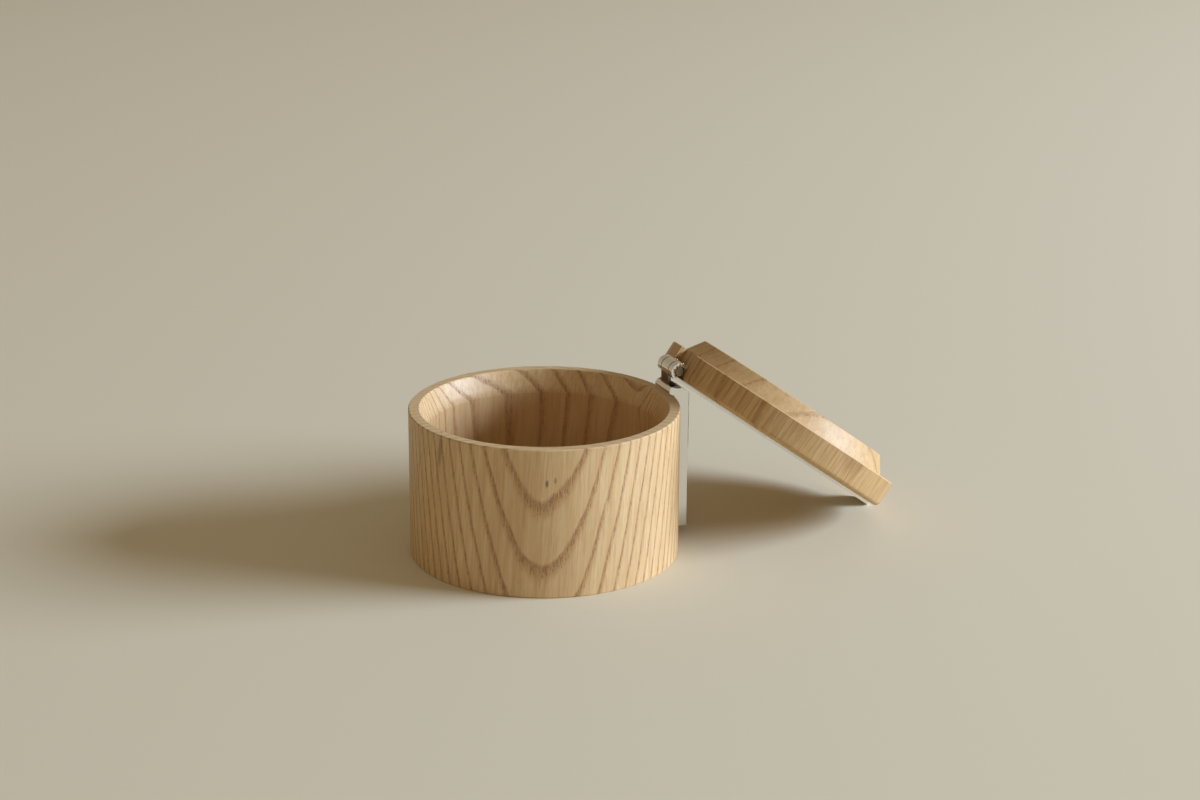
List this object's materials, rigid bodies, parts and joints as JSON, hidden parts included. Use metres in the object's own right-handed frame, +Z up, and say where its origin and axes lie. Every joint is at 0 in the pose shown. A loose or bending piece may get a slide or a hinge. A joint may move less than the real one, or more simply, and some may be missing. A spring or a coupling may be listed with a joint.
{
  "type": "salt box with hinged lid",
  "caption": "Round turned wooden salt box with a plug-fitting wooden lid on a steel strap hinge that swings right back to rest on the table.",
  "frame": {"origin": "centre of the flat base, on the box's axis, at the surface it stands on", "axes": "+X from the box's axis to the hinge, the way the open lid lies; +Y along the hinge pin; +Z up along the box's axis"},
  "size_m": [0.1889, 0.1, 0.0701],
  "materials": {
    "body_wood": "pale ash, long grain upright, fine satin sanding, oiled",
    "lid_wood": "pale ash, grain along the turning axis, fine satin sanding, oiled",
    "polished_steel": "stainless steel, mirror polished, softly broken edges",
    "pin_steel": "stainless steel, turned, satin"
  },
  "bodies": {
    "base": {"body": "body_wood", "wall_bracket": "polished_steel", "hinge_leaf": "polished_steel", "bracket_screws": "pin_steel"},
    "lid": {"lid": "lid_wood", "lid_strap": "polished_steel", "hinge_pin": "pin_steel", "lid_screws": "pin_steel"}
  },
  "joints": [
    {"name": "lid_hinge", "type": "hinge", "parent": "base", "child": "lid", "pos_m": [0.0517, 0, 0.0645], "axis": [0, -1, 0], "range_deg": [0, 215.94]}
  ]
}
